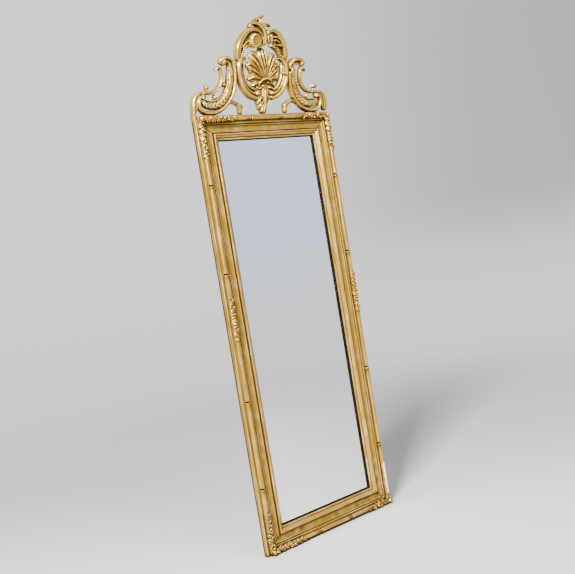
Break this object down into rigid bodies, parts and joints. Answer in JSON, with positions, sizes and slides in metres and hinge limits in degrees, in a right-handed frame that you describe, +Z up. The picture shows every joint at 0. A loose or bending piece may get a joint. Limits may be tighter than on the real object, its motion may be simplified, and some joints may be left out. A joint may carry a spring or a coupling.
{
  "type": "framed pier mirror",
  "caption": "Tall upright mirror in a mitred gilt moulding, with flower garlands on its corners and sides and a pierced shell-and-scroll crest that leans forward.",
  "frame": {"origin": "on the floor, midway between the sides and midway through the depth of the whole piece", "axes": "+Z up the mirror, front with the glass towards -Y, +X to the viewer's right"},
  "size_m": [0.5066, 0.083, 1.5321],
  "materials": {
    "gilt": "worn pale gilding over gesso on carved wood and composition, satin, dark in the hollows",
    "silvered_glass": "polished silvered plate",
    "pine": "bare aged pine, matt",
    "iron": "dark forged iron, matt",
    "steel": "dull steel",
    "brass": "aged brass, satin"
  },
  "bodies": {
    "mirror": {"left_stile": "gilt", "right_stile": "gilt", "top_rail": "gilt", "bottom_rail": "gilt", "corner_keys": "pine", "mirror_glass": "silvered_glass", "glass_blocks": "pine", "backboard_left": "pine", "backboard_right": "pine", "backboard_brads": "steel", "corner_ornament_top_left": "gilt", "corner_ornament_top_right": "gilt", "corner_ornament_bottom_left": "gilt", "corner_ornament_bottom_right": "gilt", "side_ornament_left": "gilt", "side_ornament_right": "gilt", "cartouche_left_upper": "gilt", "cartouche_left_lower": "gilt", "cartouche_right_upper": "gilt", "cartouche_right_lower": "gilt", "crest_shell": "gilt", "crest_top_leaf": "gilt", "crest_stem": "gilt", "crest_outer_scroll_left": "gilt", "crest_inner_scroll_left": "gilt", "crest_corner_leaf_left": "gilt", "crest_foot_left": "gilt", "crest_outer_scroll_right": "gilt", "crest_inner_scroll_right": "gilt", "crest_corner_leaf_right": "gilt", "crest_foot_right": "gilt", "crest_strap": "iron", "crest_screws": "steel", "hanger_plate_left": "brass", "hanger_plate_right": "brass", "hanger_screws": "steel"},
    "left_ring": {"hanger_ring_left": "brass"},
    "right_ring": {"hanger_ring_right": "brass"}
  },
  "joints": [
    {"name": "left_ring_swing", "type": "hinge", "parent": "mirror", "child": "left_ring", "pos_m": [-0.214, 0.0387, 1.01], "axis": [1, 0, 0], "range_deg": [0, 180]},
    {"name": "right_ring_swing", "type": "hinge", "parent": "mirror", "child": "right_ring", "pos_m": [0.214, 0.0387, 1.01], "axis": [1, 0, 0], "range_deg": [0, 180]}
  ]
}
